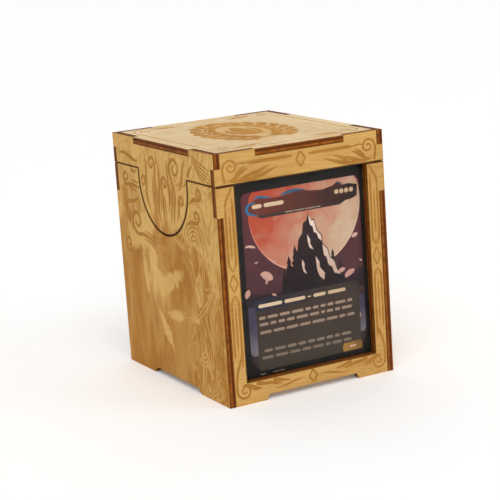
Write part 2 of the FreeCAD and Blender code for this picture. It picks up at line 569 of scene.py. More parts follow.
def solidObject(name, vertices, faces):
    mesh = bpy.data.meshes.new(name)
    mesh.from_pydata(vertices, [], faces)
    work = bmesh.new()
    work.from_mesh(mesh)
    bmesh.ops.recalc_face_normals(work, faces=work.faces)
    work.to_mesh(mesh)
    work.free()
    return addObject(name, mesh)


def finishPiece(piece, material, body):
    piece.data.materials.append(material)
    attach(piece, body)
    return piece


def strokePiece(name, strokes, place, low, high):
    # every stroke becomes a thin closed strip between the heights low and high above the panel's face,
    # each a hair higher than the last, so that strokes can cross
    vertices, faces = [], []
    for number, line in enumerate(strokes):
        first = len(vertices)
        count = len(line)
        top = high + 0.0005 * (number % 97)
        for i, (u, v, width) in enumerate(line):
            before, after = line[max(i - 1, 0)], line[min(i + 1, count - 1)]
            du, dv = after[0] - before[0], after[1] - before[1]
            size = math.hypot(du, dv) or 1.0
            nu, nv = -dv / size * width / 2, du / size * width / 2
            for side, lift in ((1, top), (-1, top), (-1, low), (1, low)):
                vertices.append(place(u + side * nu, v + side * nv, lift) * mm)
        for i in range(count - 1):
            a = first + 4 * i
            for k in range(4):
                n = (k + 1) % 4
                faces.append((a + k, a + n, a + 4 + n, a + 4 + k))
        end = first + 4 * (count - 1)
        faces.append((first, first + 1, first + 2, first + 3))
        faces.append((end + 3, end + 2, end + 1, end))
    return solidObject(name, vertices, faces)


def platePiece(name, outlines, place, low, high):
    # flat closed plates, one for each outline
    vertices, faces = [], []
    for outline in outlines:
        first, count = len(vertices), len(outline)
        vertices += [place(u, v, high) * mm for u, v in outline]
        vertices += [place(u, v, low) * mm for u, v in outline]
        faces.append(tuple(range(first, first + count)))
        faces.append(tuple(range(first + 2 * count - 1, first + count - 1, -1)))
        for i in range(count):
            n = (i + 1) % count
            faces.append((first + i, first + count + i, first + count + n, first + n))
    return solidObject(name, vertices, faces)


def onFront(u, v, lift):
    return Vector((u, lidLow.y - lift, v))


def onBack(u, v, lift):
    return Vector((-u, lidHigh.y + lift, v))


def onLeft(u, v, lift):
    return Vector((lidLow.x - lift, u, v))


def onRight(u, v, lift):
    return Vector((lidHigh.x + lift, u, v))


def onTop(u, v, lift):
    return Vector((u, v, boxHeight + lift))


# where an engraved line may run, and which body it belongs to

tongueLow = boxOf("lid_left")[0]
archTop = boxOf("bottom_panel")[0].z
baseTop = frontHigh.z
joinery = {
    "tongueHalf": 23.0,
    "tongueGap": 0.3,
    "lidFinger": 100.7,  # the lid's strips reach the corners below this height
    "baseFinger": 80.7,  # the base's front and back reach the corners above this height
    "sideTabHalf": 26.5,
    "frontTabHalf": 21.5,
    "sideArchHalf": 22.6,
    "frontArchHalf": 23.1,
    "windowHalf": 32.15,
    "windowSill": 9.5,
    "bare": 0.35,  # the bare strip left beside a cut
}
tongueHalf, tongueCentre = joinery["tongueHalf"], tongueLow.z + joinery["tongueHalf"]
windowHalf, windowSill = joinery["windowHalf"], joinery["windowSill"]


def tongueDistance(u, v):
    # how far a point of a side wall lies outside the tongue's edge
    if v > tongueCentre:
        return abs(u) - tongueHalf
    return math.hypot(u, v - tongueCentre) - tongueHalf


def insideLidSide(u, v, half):
    clear = joinery["bare"] + half
    inWall = abs(u) < boxDepth / 2 - clear - 0.3 and v < boxHeight - clear
    inTab = v > boxHeight - plyThick - clear and abs(u) < joinery["sideTabHalf"] + clear
    inCorner = v < joinery["lidFinger"] + clear and abs(u) > boxDepth / 2 - plyThick - clear
    return inWall and not inTab and not inCorner and (v > seamHeight + clear or tongueDistance(u, v) < -clear)


def insideBaseSide(u, v, half):
    clear = joinery["bare"] + half
    inCorner = v > joinery["baseFinger"] - clear and abs(u) > boxDepth / 2 - plyThick - clear
    inArch = v < archTop + clear and abs(u) < joinery["sideArchHalf"] + clear
    return (v > 1.2 and v < baseTop - clear and abs(u) < boxDepth / 2 - clear - 0.3
            and not inCorner and not inArch and tongueDistance(u, v) > clear + joinery["tongueGap"])


def insideLidStrip(u, v, half):
    clear = joinery["bare"] + half
    inTab = v > boxHeight - plyThick - clear and abs(u) < joinery["frontTabHalf"] + clear
    inStrip = v > seamHeight + clear and v < boxHeight - clear
    return inStrip and abs(u) < boxWidth / 2 - plyThick - clear and not inTab


def insideFrontFrame(u, v, half):
    clear = 0.15 + half
    inWindow = abs(u) < windowHalf + clear and v > windowSill - clear
    return insideBackWall(u, v, half) and not inWindow


def insideBackWall(u, v, half):
    clear = 0.25 + half
    inArch = v < archTop + clear and abs(u) < joinery["frontArchHalf"] + clear
    return v > clear and v < baseTop - clear and abs(u) < boxWidth / 2 - plyThick - clear and not inArch


# engraved lines

burnLooks = {
    "engraved line": {"burn": ink(182, 132, 62), "char": ink(156, 106, 42), "plane": "front"},
    "side line dark": {"burn": ink(186, 134, 62), "char": ink(164, 112, 42), "plane": "side"},
    "side line pale": {"burn": ink(222, 178, 104), "char": ink(206, 158, 84), "plane": "side"},
    "top burn": {"burn": ink(206, 150, 54), "char": ink(178, 118, 30), "plane": "level"},
    "scorched kerf": {"burn": ink(96, 48, 10), "char": ink(48, 20, 2), "plane": "side"},
}


def engravedMaterial(name, look):
    material, tree, shader = startMaterial(name)
    place = placeOf(tree)
    grain = placeGroup(tree, birchGrain, {
        "Along": grainPlace(tree, place, planes[look["plane"]]), "Pale": look["burn"],
        "Dark": look["char"], "Figure": 0.7, "Mottle": 0.4})
    wearInto(tree, shader, grain["Color"], place, grain["Roughness"], 0.15, look["char"])
    fill(tree, shader.inputs, {"Specular IOR Level": 0.1})
    bumpInto(tree, shader, grain["Height"], 0.6, 0.00008)
    return material


burns = {name: engravedMaterial(name, look) for name, look in burnLooks.items()}

# an engraved line's solid, from the panel's face outwards, and what some lines stand higher
lineDepth = {"low": -0.12, "high": 0.018, "pictureLift": 0.02, "sideKerfLift": 0.1, "frontKerfLift": 0.01}


def engrave(name, strokes, place, body, burn, lift=0.0):
    piece = strokePiece(name, strokes, place, lineDepth["low"], lineDepth["high"] + lift)
    return finishPiece(piece, burns[burn], body)


# The frame ornament is drawn for the upper left corner and the left stile. a runs inwards from the
# side edge and b runs inwards from the upper or lower edge.
ornament = {
    "line": 1.1,
    "fineLine": 0.75,
    "band": 1.5,
    "scrollCentre": (7.6, 6.3),
    "scrollRadius": 3.7,
    "railScrollDown": 6.0,
    "leafShare": 0.62,  # the leaf on the bottom rail is squeezed to this share
    "leafShift": 1.3,
    "stileOuter": 3.95,
    "stileInner": 7.35,
    "stileMiddle": 5.65,
    "stileDiamond": 54.4,
}


def diamond(a, b, half, tall, width):
    tips = [(a, b - tall), (a + half, b), (a, b + tall), (a - half, b), (a, b - tall)]
    return [stroke(straight(start, end, 0.5), width, "even") for start, end in zip(tips, tips[1:])]


def acanthus(fit):
    # lobes that lean away from the scroll
    lobes = [
        ((6.0, 11.6), (9.4, 12.4), (11.2, 8.6), (15.8, 7.4), 1.7),
        ((7.6, 12.2), (13.0, 12.8), (15.4, 9.8), (20.8, 9.2), 1.8),
        ((11.0, 12.2), (18.5, 12.8), (21.0, 11.4), (29.8, 8.6), 1.9),
        ((17.5, 11.0), (20.4, 10.2), (22.0, 8.0), (25.8, 8.0), 1.3),
        ((9.0, 9.6), (11.0, 9.2), (11.6, 7.2), (14.6, 6.6), 0.9),
    ]
    return [stroke(bezier(*(fit(p) for p in lobe[:4])), lobe[4], "leaf") for lobe in lobes]


def scroll(centre, lead):
    radius = ornament["scrollRadius"]
    curl = spiral(centre, radius, 0.75, 180, 1.35)
    knob = [(curl[-1][0] - 0.5, curl[-1][1]), curl[-1], (curl[-1][0] + 0.5, curl[-1][1])]
    return [stroke(lead + curl[1:], ornament["line"] * 1.1, "tail"), stroke(knob, 1.2, "leaf")]


def lidOrnament():
    centre = ornament["scrollCentre"]
    lead = smoothLine([(4.9, 12.9), (4.2, 10.4), (3.9, 8.2), (3.9, centre[1])])
    strokes = scroll(centre, lead) + acanthus(lambda p: p)
    strokes.append(stroke(bezier((10.2, 5.6), (11.5, 4.2), (13.0, 5.2), (15.5, 5.3)), 0.6))
    strokes.append(stroke(straight((15.0, 5.3), (37.2, 5.3)), ornament["band"], "point"))
    return strokes


def railOrnament():
    # b runs up from the soles here
    squeeze, shift = ornament["leafShare"], ornament["leafShift"]
    centre = (ornament["scrollCentre"][0], ornament["railScrollDown"])
    lead = smoothLine([(7.4, 21.5), (6.0, 18.4), (4.9, 15.5), (4.1, 12.0), (3.9, 8.8), (3.9, centre[1])])
    strokes = scroll(centre, lead)
    strokes += acanthus(lambda p: (p[0], p[1] * squeeze + shift))
    strokes.append(stroke(bezier((22.0, 4.6), (27.0, 3.6), (31.0, 6.6), (37.4, 6.0)), 0.8, "leaf"))
    return strokes


def stileOrnament():
    outer, inner = ornament["stileOuter"], ornament["stileInner"]
    middle, centre = ornament["stileMiddle"], ornament["stileDiamond"]
    line, fine = ornament["line"], ornament["fineLine"]
    tip, shoulder, end = 4.9, 8.2, 32.0  # distances from the stile's diamond
    strokes = diamond(middle, centre, 1.9, 3.8, 0.75)
    for way in (-1, 1):
        point = (middle, centre + way * tip)
        for edge, reach in ((outer, end), (inner, end + 4)):
            bent = bentLine([point, (edge, centre + way * shoulder), (edge, centre + way * reach)])
            strokes.append(stroke(bent, line))
        strokes.append(stroke(straight((middle, centre + way * (shoulder + 2)),
                                       (middle, centre + way * (end - 3))), fine))
    crown = smoothLine([(outer, centre - end), (4.6, centre - end - 3.0), (6.2, centre - end - 5.6),
                        (7.6, centre - end - 8.2)])
    strokes.append(stroke(crown, line))
    return strokes


def fromCorner(strokes, downwards):
    # turns distances from the upper or lower left corner into places on the wall, and mirrors them
    placed = [[(a - boxWidth / 2, boxHeight - b if downwards else b, w) for a, b, w in line]
              for line in strokes]
    return mirrored(placed)


lidLines = fromCorner(lidOrnament(), True) + diamond(0, boxHeight - 7.0, 2.2, 3.4, 0.95)
wallLines = (fromCorner(stileOrnament(), True) + fromCorner(railOrnament(), False)
             + diamond(0, 6.0, 2.0, 2.9, 0.9))
for owner, lines, inside, place, body in (
        ("lid_front", lidLines, insideLidStrip, onFront, "lid"),
        ("lid_back", lidLines, insideLidStrip, onBack, "lid"),
        ("front_frame", wallLines, insideFrontFrame, onFront, "base"),
        ("back_panel", wallLines, insideBackWall, onBack, "base")):
    engrave(owner + "_ornament", keepWhere(lines, inside), place, body, "engraved line")
print("frame ornament engraved")


# the side picture: curling flames above, and ripples, bands and loops towards the front

sidePicture = {
    "curlWidth": 2.1,
    "echoAway": 2.0,
    "rippleCentre": (-26.5, 66.0),
    "loopCentre": (-27.0, 21.0),
    "frontLines": 5,
    "rays": 5,
}


def offsetLine(points, distance):
    moved = []
    for i, (u, v) in enumerate(points):
        before, after = points[max(i - 1, 0)], points[min(i + 1, len(points) - 1)]
        du, dv = after[0] - before[0], after[1] - before[1]
        size = math.hypot(du, dv) or 1.0
        moved.append((u - dv / size * distance, v + du / size * distance))
    return moved


def tendril(root, lean, centre, radius, entry, turns):
    # a stem that leaves the root along lean and winds into a curl
    angle = math.radians(entry)
    start = (centre[0] + radius * math.cos(angle), centre[1] + radius * math.sin(angle))
    reach = math.copysign(0.4 * math.dist(root, start), turns)
    pull = (start[0] + math.sin(angle) * reach, start[1] - math.cos(angle) * reach)
    stem = bezier(root, (root[0] + lean[0], root[1] + lean[1]), pull, start, 30)
    return stem, spiral(centre, radius, radius * 0.25, entry, turns, 36)


def curls():
    # each curl: root, lean at the root, middle, radius, where the stem meets it, turns
    return [
        ((-6.0, 72.0), (-1, 10), (-12.0, 97.0), 5.4, -30, 1.25),
        ((0.5, 71.0), (0, 8), (-1.5, 89.5), 3.2, -10, 1.15),
        ((7.0, 71.5), (2, 9), (10.0, 97.0), 3.6, 190, -1.15),
        ((13.0, 75.0), (3, 5), (19.0, 88.0), 3.2, 200, -1.15),
        ((-12.0, 74.5), (-2, 4), (-16.8, 83.5), 2.6, 0, 1.15),
        ((6.0, 62.5), (7, -3), (28.5, 69.0), 6.2, -105, 1.3),
        ((22.0, 84.5), (4, 0), (37.0, 88.0), 3.4, -100, 1.2),
        ((25.0, 52.5), (5, -1), (39.0, 57.5), 3.8, -105, 1.2),
        ((-23.5, 83.0), (-3, 3), (-32.5, 89.0), 2.7, -90, -1.1),
        ((-20.0, 74.0), (-3, 2), (-29.5, 79.0), 3.0, -90, -1.1),
    ]


def sideDarkStrokes():
    strokes = []
    for curl in curls():
        stem, coil = tendril(*curl)
        strokes.append(stroke(stem + coil[1:], sidePicture["curlWidth"], "flame"))
        if math.dist(stem[0], stem[-1]) > 14:
            strokes.append(stroke(offsetLine(stem[5:24], sidePicture["echoAway"]), 0.9, "leaf"))
            strokes.append(stroke(offsetLine(stem[8:26], -sidePicture["echoAway"]), 0.8, "leaf"))
    flames = [  # long tongues between the curls
        ((-9.0, 73.0), (-8.5, 80), (-13.5, 84), (-10.0, 91.0)),
        ((4.2, 73.0), (7.5, 80), (0.5, 86), (4.5, 101.0)),
        ((-4.5, 78.0), (-7.5, 84), (-4.0, 90), (-5.5, 100.0)),
        ((15.5, 82.0), (18.0, 88), (13.5, 93), (16.5, 102.0)),
        ((-14.5, 88.0), (-20.5, 92), (-18.0, 98), (-22.5, 102.0)),
        ((-19.5, 90.5), (-25.0, 93), (-24.0, 98), (-29.0, 100.5)),
        ((23.5, 97.0), (29.0, 95), (34.0, 101), (42.5, 98.5)),
        ((25.0, 92.0), (31.0, 90), (35.0, 95.0), (43.0, 92.0)),
        ((43.0, 73.5), (38.0, 79), (31.0, 76), (25.5, 80.0)),
    ]
    strokes += [stroke(bezier(*flame), 1.9, "leaf") for flame in flames]
    for k in range(5):
        strokes.append(stroke(arc(sidePicture["rippleCentre"], 2.4 + 1.9 * k, 5, 185), 0.7, "leaf"))
    for k in range(sidePicture["frontLines"]):  # wavering upright lines beside the front edge
        start = -45.0 + 1.6 * k
        line = [(start + 0.7 * math.sin(v / 6.0 + 0.35 * k), v) for v in range(7 + 2 * k, 36 - 2 * k)]
        strokes.append(stroke(line, 0.6, "leaf"))
    for k in range(sidePicture["rays"]):  # rays at the upper front corner
        strokes.append(stroke(bezier((-27.5 - 1.2 * k, 105.3 - 1.3 * k), (-32, 103.6 - 1.5 * k),
                                     (-37, 101.6 - 1.7 * k), (-44.4, 99.6 - 1.9 * k)), 0.7, "leaf"))
    return strokes


def sidePaleStrokes():
    strokes = []
    bands = [  # bent bands of parallel lines
        [(-30.0, 63.0), (-36.5, 57.0), (-40.5, 51.5), (-37.0, 45.5), (-32.0, 40.0), (-23.0, 33.8),
         (-12.5, 31.5)],
        [(-44.8, 60.0), (-44.6, 51.0), (-41.0, 42.0), (-37.0, 34.0), (-36.0, 22.0)],
    ]
    for corners in bands:
        line = smoothLine(corners)
        for distance in (-0.8, 0.8):
            strokes.append(stroke(offsetLine(line, distance), 0.55, "leaf"))
    (cu, cv) = sidePicture["loopCentre"]
    for half in (1.7, 3.6, 5.5, 7.4):  # nested loops near the foot
        loop = straight((cu - half, 32.0 - half), (cu - half, cv)) + arc((cu, cv), half, 180, 360, 16)[1:]
        loop += straight((cu + half, cv), (cu + half, 30.0 - half))[1:]
        strokes.append(stroke(loop, 0.55, "leaf"))
    for k in range(5):  # short dashes beside the finger joint
        step, drop = 1.2 * (k % 3), 3.0 * k
        strokes.append(stroke(straight((-40.5 - step, 78.0 - drop), (-40.7 - step, 75.6 - drop)), 0.5))
    for k in range(4):  # light between the flames
        u = -12.0 + 7.5 * k
        strokes.append(stroke(bezier((u, 76.0), (u + 2.5, 81), (u - 2.5, 85), (u + 1.0, 91)), 1.4, "leaf"))
    return strokes


sideDark, sidePale = sideDarkStrokes(), sidePaleStrokes()
for side, place in (("left", onLeft), ("right", onRight)):
    for body, inside, owner in (
            ("lid", insideLidSide, "lid_" + side), ("base", insideBaseSide, side + "_panel")):
        engrave(owner + "_picture", keepWhere(sideDark, inside), place, body, "side line dark",
                lineDepth["pictureLift"])
        pale = keepWhere(sidePale, inside)
        if pale:
            engrave(owner + "_highlights", pale, place, body, "side line pale")
print("side pictures engraved")


# scorched lines beside the laser cuts that the panel's own outline doesn't cover

kerf = {"width": 0.34, "windowWidth": 0.3, "offset": 0.2, "short": 0.3}


def tongueOutline(grow):
    half = tongueHalf + grow
    top = seamHeight if grow < 0.2 else baseTop
    return (straight((-half, top - 0.2), (-half, tongueCentre))
            + arc((0, tongueCentre), half, 180, 360, 60)[1:]
            + straight((half, tongueCentre), (half, top - 0.2))[1:])


lidKerf = stroke(tongueOutline(-kerf["offset"]), kerf["width"], "even")
baseKerf = stroke(tongueOutline(joinery["tongueGap"] + kerf["offset"]), kerf["width"], "even")
overSeam, underSeam = seamHeight + kerf["offset"], baseTop - kerf["offset"]
seamEnd = boxWidth / 2 - kerf["short"]


def kerfLine(fromSide, toSide, height):
    return stroke(straight((fromSide, height), (toSide, height)), kerf["width"], "even")


def scorch(name, strokes, place, body, panel="front"):
    lift = lineDepth[panel + "KerfLift"]
    engrave(name + "_kerf", strokes, place, body, "scorched kerf", lift)


kerfStart, kerfEnd = tongueHalf - kerf["offset"], boxDepth / 2 - plyThick
lidKerfs = [lidKerf] + [kerfLine(way * kerfStart, way * kerfEnd, overSeam) for way in (-1, 1)]
for side, place in (("left", onLeft), ("right", onRight)):
    scorch("lid_" + side, lidKerfs, place, "lid", "side")
    scorch(side + "_panel", [baseKerf], place, "base", "side")
baseSeams = [kerfLine(way * windowHalf, way * seamEnd, underSeam) for way in (-1, 1)]
for where, owner, place in (("front", "front_frame", onFront), ("back", "back_panel", onBack)):
    scorch("lid_" + where, [kerfLine(-seamEnd, seamEnd, overSeam)], place, "lid")
    scorch(owner, baseSeams, place, "base")
edge, sill = windowHalf + kerf["offset"], windowSill - kerf["offset"]
windowEdge = bentLine([(-edge, underSeam), (-edge, sill), (edge, sill), (edge, underSeam)])
scorch("window", [stroke(windowEdge, kerf["windowWidth"], "even")], onFront, "base")


# lid top: a wreath round a bud, and a thin border

crest = {
    "halfX": 14.5,
    "halfY": 23.0,
    "leaves": 9,  # on each side of one branch
    "leafLong": 9.5,
    "leafSpread": 4.6,
    "leafWidth": 4.4,
    "branch": 1.5,
    "budHalf": 12.0,
    "budWidth": 8.0,
    "borderInset": 5.5,
}


def wreathStrokes():
    # one branch of the wreath, from its crossing in front to its tip at the back, mirrored
    halfX, halfY = crest["halfX"], crest["halfY"]
    strokes = []
    branch = []
    for step in range(-96, 84, 4):
        angle = math.radians(step)
        branch.append((halfX * math.cos(angle), halfY * math.sin(angle)))
    strokes.append(stroke(branch, crest["branch"], "tail"))
    for k in range(crest["leaves"]):
        angle = math.radians(-74 + 148 * k / (crest["leaves"] - 1))
        root = Vector((halfX * math.cos(angle), halfY * math.sin(angle)))
        ahead = Vector((-halfX * math.sin(angle), halfY * math.cos(angle))).normalized()
        for side, size in ((1, 1.0), (-1, 0.8)):
            outward = Vector((ahead.y, -ahead.x)) * side * crest["leafSpread"] * size
            along = ahead * crest["leafLong"] * size
            leaf = bezier(tuple(root), tuple(root + along * 0.15 + outward * 0.7),
                          tuple(root + along * 0.6 + outward * 1.2), tuple(root + along + outward), 14)
            strokes.append(stroke(leaf, crest["leafWidth"] * size, "leaf"))
    tail = bezier(branch[0], (-4.0, -halfY - 0.5), (-7.5, -halfY - 1.5), (-9.0, -halfY - 5.0), 12)
    strokes.append(stroke(tail, crest["branch"], "leaf"))
    return mirrored(strokes)


def budStrokes():
    half, width = crest["budHalf"], crest["budWidth"]
    strokes = [stroke(straight((0, -half), (0, half)), width, "leaf")]
    for way in (-1, 1):
        petal = bezier((0, -half), (way * 5, -half + 2), (way * 8.5, -1), (way * 5.0, half * 0.55))
        strokes.append(stroke(petal, width * 0.36, "leaf"))
    return strokes


def borderStrokes():
    inset = crest["borderInset"]
    halfX, halfY = boxWidth / 2 - inset, boxDepth / 2 - inset
    corner = 8.0
    strokes = [
        stroke(straight((0, -halfY), (halfX - corner, -halfY)), 0.6),
        stroke(straight((0, halfY), (halfX - corner, halfY)), 0.6),
        stroke(straight((halfX, -halfY + corner), (halfX, halfY - corner)), 0.6),
    ]
    for way in (-1, 1):
        strokes.append(stroke(bezier((halfX - corner, way * halfY), (halfX - 3, way * halfY),
                                     (halfX, way * (halfY - 3)), (halfX, way * (halfY - corner))), 0.6))
        turns = -way * 1.3
        curl = (halfX - 6.0, way * (halfY - 6.0))
        strokes.append(stroke(spiral(curl, 2.9, 0.7, 90 * way, turns), 0.6, "tail"))
        for k in range(3):
            strokes.append(stroke(bezier((halfX - 9.0 - 3 * k, way * (halfY - 2.4)),
                                         (halfX - 12 - 3 * k, way * (halfY - 2.6)),
                                         (halfX - 13 - 3 * k, way * (halfY - 5.5)),
                                         (halfX - 17 - 4 * k, way * (halfY - 5.8))), 1.2, "leaf"))
    return mirrored(strokes)


engrave("lid_top_wreath", wreathStrokes() + budStrokes(), onTop, "lid", "top burn")
engrave("lid_top_border", borderStrokes(), onTop, "lid", "top burn")
print("lid top engraved")


# sleeved card: printed layers that ride with it

def printedInkGroup():
    # a colour that shades from one tone to another along a direction, with soft blotches and print dots
    group, given, result = newGroup(
        "printed ink",
        {"Place": "Vector", "From": "Color", "To": "Color", "Direction": "Vector", "Start": 0.0,
         "Span": 10.0, "Blotch": 0.2},
        {"Color": "Color", "Height": "Float"})
    run = minus(group, vectorOf(group, "DOT_PRODUCT", given["Place"], given["Direction"]), given["Start"])
    share = mathOf(group, "DIVIDE", run, given["Span"])
    cloud = noiseAt(group, given["Place"], 0.14, 4.0, 0.6, 0.6)
    shaken = times(group, minus(group, cloud, 0.5), times(group, given["Blotch"], 2.4))
    share = plus(group, share, shaken, True)
    dots = noiseAt(group, given["Place"], 9.0, 1.0, 0.5)
    color = mixOf(group, share, given["From"], given["To"])
    speckle = times(group, given["Blotch"], 0.35)
    dotted = times(group, rangeOf(group, dots, 0.3, 0.75), speckle)
    fill(group, result, {"Color": mixOf(group, dotted, color, (0.01, 0.008, 0.01, 1)), "Height": dots})
    return group


printedInk = printedInkGroup()


def printMaterial(name, look):
    material, tree, shader = startMaterial(name)
    place = placeOf(tree)
    printed = placeGroup(tree, printedInk, {"Place": place, **look})
    wearInto(tree, shader, printed["Color"], place, 0.4, 0.08, (0.12, 0.11, 0.1, 1))
    fill(tree, shader.inputs, {"Specular IOR Level": 0.1})
    bumpInto(tree, shader, printed["Height"], 0.1, 0.00002)
    return material


# places on the card are in millimetres from its lower left corner
cardPrint = {
    "fieldLeft": 2.95, "fieldRight": 60.85, "fieldLow": 5.8, "fieldTop": 82.4,
    "upperCorner": 3.0, "lowerCorner": 8.0,
    "moonCentre": (33.3, 72.8), "moonRadius": 27.5,
    "titleLeft": 6.2, "titleRight": 59.4, "titleLow": 72.4, "titleTop": 79.0,
    "panelLeft": 6.6, "panelRight": 58.0, "panelTop": 36.2, "typeLow": 31.5,
    "layer": 0.008, "sunk": 0.01,
    "seed": 12,
}


def onCard(p, q, lift):
    return Vector((cardLow.x + p, cardLow.y - lift, cardLow.z + q))


def roundedOutline(left, right, low, top, lowRadius, topRadius):
    points = arc((right - topRadius, top - topRadius), topRadius, 0, 90, 10)
    points += arc((left + topRadius, top - topRadius), topRadius, 90, 180, 10)
    points += arc((left + lowRadius, low + lowRadius), lowRadius, 180, 270, 14)
    points += arc((right - lowRadius, low + lowRadius), lowRadius, 270, 360, 14)
    return points


def moonOutline():
    # the part of the disc that lies inside the printed field
    (cp, cq), radius = cardPrint["moonCentre"], cardPrint["moonRadius"]
    top, corner = cardPrint["fieldTop"], cardPrint["upperCorner"]
    reach = math.degrees(math.asin((top - corner * 0.6 - cq) / radius))
    lower = arc((cp, cq), radius, 180 - reach, 360 + reach, 80)
    return lower + [(min(lower[-1][0], cardPrint["fieldRight"]) - 1.5, top - 0.05),
                    (max(lower[0][0], cardPrint["fieldLeft"]) + 1.5, top - 0.05)]


def ridge(left, right, low, heights):
    # a dark outline whose upper edge passes through evenly spaced heights
    step = (right - left) / (len(heights) - 1)
    return [(left, low)] + [(left + i * step, h) for i, h in enumerate(heights)] + [(right, low)]


def pine(p, q, tall):
    half = tall * 0.22
    outline = [(p + 0.06 * tall, q)]
    for k in range(4):
        shelf = q + tall * (0.14 + 0.2 * k)
        wide = half * (1 - 0.2 * k)
        outline += [(p + wide, shelf), (p + wide * 0.35, shelf + tall * 0.17)]
    outline.append((p, q + tall))
    return outline + [(2 * p - x, y) for x, y in reversed(outline[:-1])]


def pill(left, right, q, tall):
    radius = tall / 2
    return (arc((right - radius, q), radius, -90, 90, 6) + arc((left + radius, q), radius, 90, 270, 6))


def wordPills(left, right, q, tall, dice):
    # a row of plain bars in place of writing
    row, at = [], left
    while at < right - 1.5:
        end = min(at + dice.uniform(2.0, 6.5), right)
        row.append(pill(at, end, q, tall))
        at = end + tall * 0.7
    return row


def shade(first, last, start, span, blotch=0.15, along=(0, 0, 1)):
    # a printed colour that runs from one ink to the other over the span
    return {"From": ink(*first), "To": ink(*last), "Start": start, "Span": span, "Blotch": blotch,
            "Direction": along}


across = (1, 0, 0)
inks = {  # each: the two colours, where the change starts, its span, blotches
    "field": shade((58, 42, 47), (102, 50, 54), 26.0, 62.0, 0.35),
    "moon": shade((190, 80, 54), (208, 182, 152), -60.0, 43.0, 0.42, (0.8, 0, -0.6)),
    "rim": shade((222, 150, 130), (230, 200, 176), -24.0, 50.0, 0.15, across),
    "crag": shade((28, 20, 24), (52, 32, 36), 40.0, 36.0, 0.3),
    "hills": shade((34, 24, 32), (56, 34, 42), 40.0, 10.0, 0.3),
    "snow": shade((196, 160, 140), (236, 212, 196), 44.0, 26.0, 0.3),
    "petal": shade((196, 144, 128), (226, 188, 168), 40.0, 40.0, 0.3),
    "title": shade((108, 52, 42), (36, 26, 24), -18.0, 46.0, 0.3, across),
    "under title": shade((66, 50, 48), (58, 44, 42), -20.0, 40.0, 0.15, across),
    "blue": shade((52, 116, 160), (44, 74, 100), -28.0, 40.0, 0.35, across),
    "cream": shade((222, 196, 162), (206, 172, 136), -24.0, 50.0, 0.1, across),
    "faint cream": shade((124, 108, 92), (164, 138, 118), 16.0, 18.0, 0.3),
    "panel": shade((64, 57, 47), (64, 50, 44), 12.0, 26.0, 0.2),
    "type band": shade((40, 44, 60), (60, 47, 42), -24.0, 30.0, 0.15, across),
    "mist": shade((142, 134, 138), (70, 62, 84), 12.0, 20.0, 0.4),
    "gold": shade((172, 128, 62), (128, 92, 44), 18.0, 10.0, 0.3, across),
    "border": shade((20, 19, 16), (26, 24, 20), 10.0, 80.0, 0.12),
}
cardInks = {name: printMaterial("card ink " + name, look) for name, look in inks.items()}
printedPieces = []


def printPlates(name, outlines, inkName, level):
    # level counts the printed layers from the card's face outwards
    piece = platePiece(name, outlines, onCard, -cardPrint["sunk"], cardPrint["layer"] * level)
    printedPieces.append(finishPiece(piece, cardInks[inkName], "card"))


def printStrokes(name, strokes, inkName, level):
    piece = strokePiece(name, strokes, onCard, -cardPrint["sunk"], cardPrint["layer"] * level)
    printedPieces.append(finishPiece(piece, cardInks[inkName], "card"))


